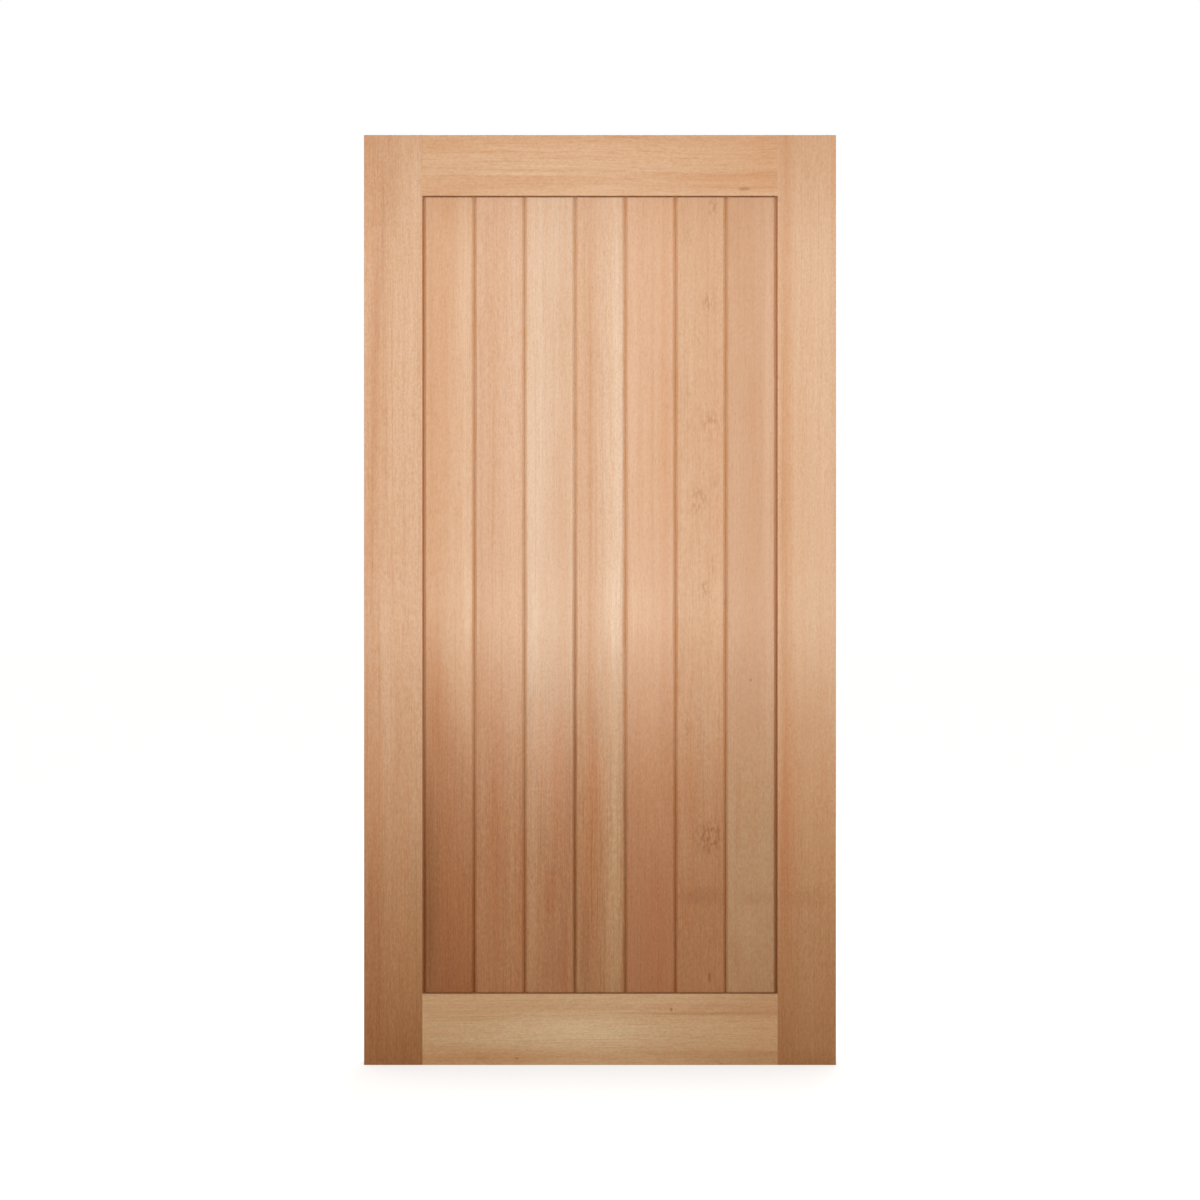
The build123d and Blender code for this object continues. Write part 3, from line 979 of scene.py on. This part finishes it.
def make_lamps(stage):
    """A soft spot in front that fades towards the foot, a lamp for the gleam, and one behind."""
    key = bpy.data.lights.new("key", "SPOT")
    key.energy = stage.key_power
    key.color = stage.key_colour
    key.shadow_soft_size = LAMP_RADIUS

    def rise(height):
        """The angle at which the lamp sees a height at the door's plane."""
        return math.atan((height - KEY_HEIGHT) / LAMP_DISTANCE)

    def tilt(height):
        """The angle between the lamp's aim and that height."""
        return rise(KEY_AIM) - rise(height)

    key.spot_size = 2 * tilt(KEY_ENDS)
    key.spot_blend = 1 - (1 - math.cos(tilt(KEY_FULL))) / (1 - math.cos(tilt(KEY_ENDS)))
    lamp = bpy.data.objects.new("key", key)
    lamp.visible_glossy = False
    aim(lamp, (LEAF_MIDDLE_X, -LAMP_DISTANCE, KEY_HEIGHT), (LEAF_MIDDLE_X, 0, KEY_AIM))

    gleam = bpy.data.lights.new("gleam", "POINT")
    gleam.energy = stage.gleam_power
    gleam.color = stage.gleam_colour
    gleam.shadow_soft_size = GLEAM_RADIUS
    lamp = bpy.data.objects.new("gleam", gleam)
    lamp.visible_diffuse = False
    aim(lamp, (LEAF_MIDDLE_X, -LAMP_DISTANCE, GLEAM_HEIGHT), (LEAF_MIDDLE_X, 0, GLEAM_HEIGHT))

    back = bpy.data.lights.new("back", "AREA")
    back.energy = stage.back_power
    back.color = stage.key_colour
    back.shape = "RECTANGLE"
    back.size, back.size_y = BACK_LAMP_SIZE
    place = (LEAF_MIDDLE_X + BACK_LAMP_ASIDE, BACK_LAMP_DISTANCE, BACK_LAMP_HEIGHT)
    aim(bpy.data.objects.new("back", back), place, (LEAF_MIDDLE_X, 0, BACK_AIM))


def sight(tree):
    """1 for what the camera sees, straight, mirrored or through glass, and 0 for what lights the object."""
    path = add(tree, "ShaderNodeLightPath").outputs
    seen = numbers(tree, "MAXIMUM", path["Is Camera Ray"], path["Is Glossy Ray"])
    return numbers(tree, "MAXIMUM", seen, path["Is Transmission Ray"])


def make_world(stage):
    """Soft light from all round. The camera and reflections see plain white instead."""
    world = bpy.data.worlds.new("soft_surroundings")
    world.use_nodes = True
    tree = world.node_tree
    tree.nodes.clear()
    light = add(tree, "ShaderNodeBackground", {
        "Color": rgba(stage.fill_colour), "Strength": stage.fill_strength})
    white = add(tree, "ShaderNodeBackground", {"Color": (1, 1, 1, 1), "Strength": 1.0})
    both = add(tree, "ShaderNodeMixShader", {0: sight(tree), 1: light, 2: white})
    add(tree, "ShaderNodeOutputWorld", {"Surface": both})
    bpy.context.scene.world = world


FLOOR_REACH = 40.0              # metres from the leaf to each edge of the floor
CONTACT_SHADOW_REACH = 0.35
CONTACT_SHADOW_TONE = 0.62      # the floor's brightness where the leaf touches it
FLOOR_GLOW = 1.28               # with the paint's own light, this shows as nearly white
GLOW_SHARE = 0.75


def make_floor():
    """A pale painted floor that reaches the horizon. To the eye it is nearly white and keeps the shadow."""
    corners = [(-1, -1), (1, -1), (1, 1), (-1, 1)]
    mesh = bpy.data.meshes.new("floor")
    mesh.from_pydata([(x * FLOOR_REACH, y * FLOOR_REACH, 0) for x, y in corners], [], [(0, 1, 2, 3)])
    floor = bpy.data.objects.new("floor", mesh)
    bpy.context.scene.collection.objects.link(floor)
    material = bpy.data.materials.new("pale_painted_floor")
    material.use_nodes = True
    tree = material.node_tree
    tree.nodes.clear()
    paint = add(tree, "ShaderNodeBsdfDiffuse", {"Color": (0.8, 0.8, 0.8, 1)})
    open_sky = add(tree, "ShaderNodeAmbientOcclusion", {"Distance": CONTACT_SHADOW_REACH}, samples=8)
    shade = remap(tree, open_sky.outputs["AO"], 0.0, 1.0, CONTACT_SHADOW_TONE, 1.0)
    glow = add(tree, "ShaderNodeEmission", {"Color": shade, "Strength": FLOOR_GLOW})
    share = numbers(tree, "MULTIPLY", sight(tree), GLOW_SHARE)
    both = add(tree, "ShaderNodeMixShader", {0: share, 1: paint, 2: glow})
    add(tree, "ShaderNodeOutputMaterial", {"Surface": both})
    mesh.materials.append(material)


class PLANKDOOR_PT_panel(bpy.types.Panel):
    """The door's sizes, colours and steps"""

    bl_label = "Plank Door"
    bl_idname = "PLANKDOOR_PT_panel"
    bl_space_type = "VIEW_3D"
    bl_region_type = "UI"
    bl_category = "Plank Door"

    def draw(self, context):
        scene = context.scene
        groups = {"Planks": scene.door_planks, "Timber": scene.door_timber, "Stage": scene.door_stage}
        for title, group in groups.items():
            box = self.layout.box()
            box.label(text=title)
            for name in group.__annotations__:
                box.prop(group, name)
        for step in STEPS:
            self.layout.operator(step.bl_idname)


STEPS = (
    PLANKDOOR_OT_planks, PLANKDOOR_OT_stiles, PLANKDOOR_OT_rails, PLANKDOOR_OT_wedges, PLANKDOOR_OT_stage)
CLASSES = (PlankSizes, TimberColours, StageSettings, *STEPS, PLANKDOOR_PT_panel)


def register():
    for item in CLASSES:
        bpy.utils.register_class(item)
    bpy.types.Scene.door_planks = bpy.props.PointerProperty(type=PlankSizes)
    bpy.types.Scene.door_timber = bpy.props.PointerProperty(type=TimberColours)
    bpy.types.Scene.door_stage = bpy.props.PointerProperty(type=StageSettings)


def unregister():
    for name in ("door_planks", "door_timber", "door_stage"):
        delattr(bpy.types.Scene, name)
    for item in reversed(CLASSES):
        bpy.utils.unregister_class(item)


def main():
    """Runs every step in order."""
    register()
    bpy.ops.plank_door.planks()
    bpy.ops.plank_door.stiles()
    bpy.ops.plank_door.rails()
    bpy.ops.plank_door.wedges()
    bpy.ops.plank_door.stage()


if __name__ == "__main__":
    main()
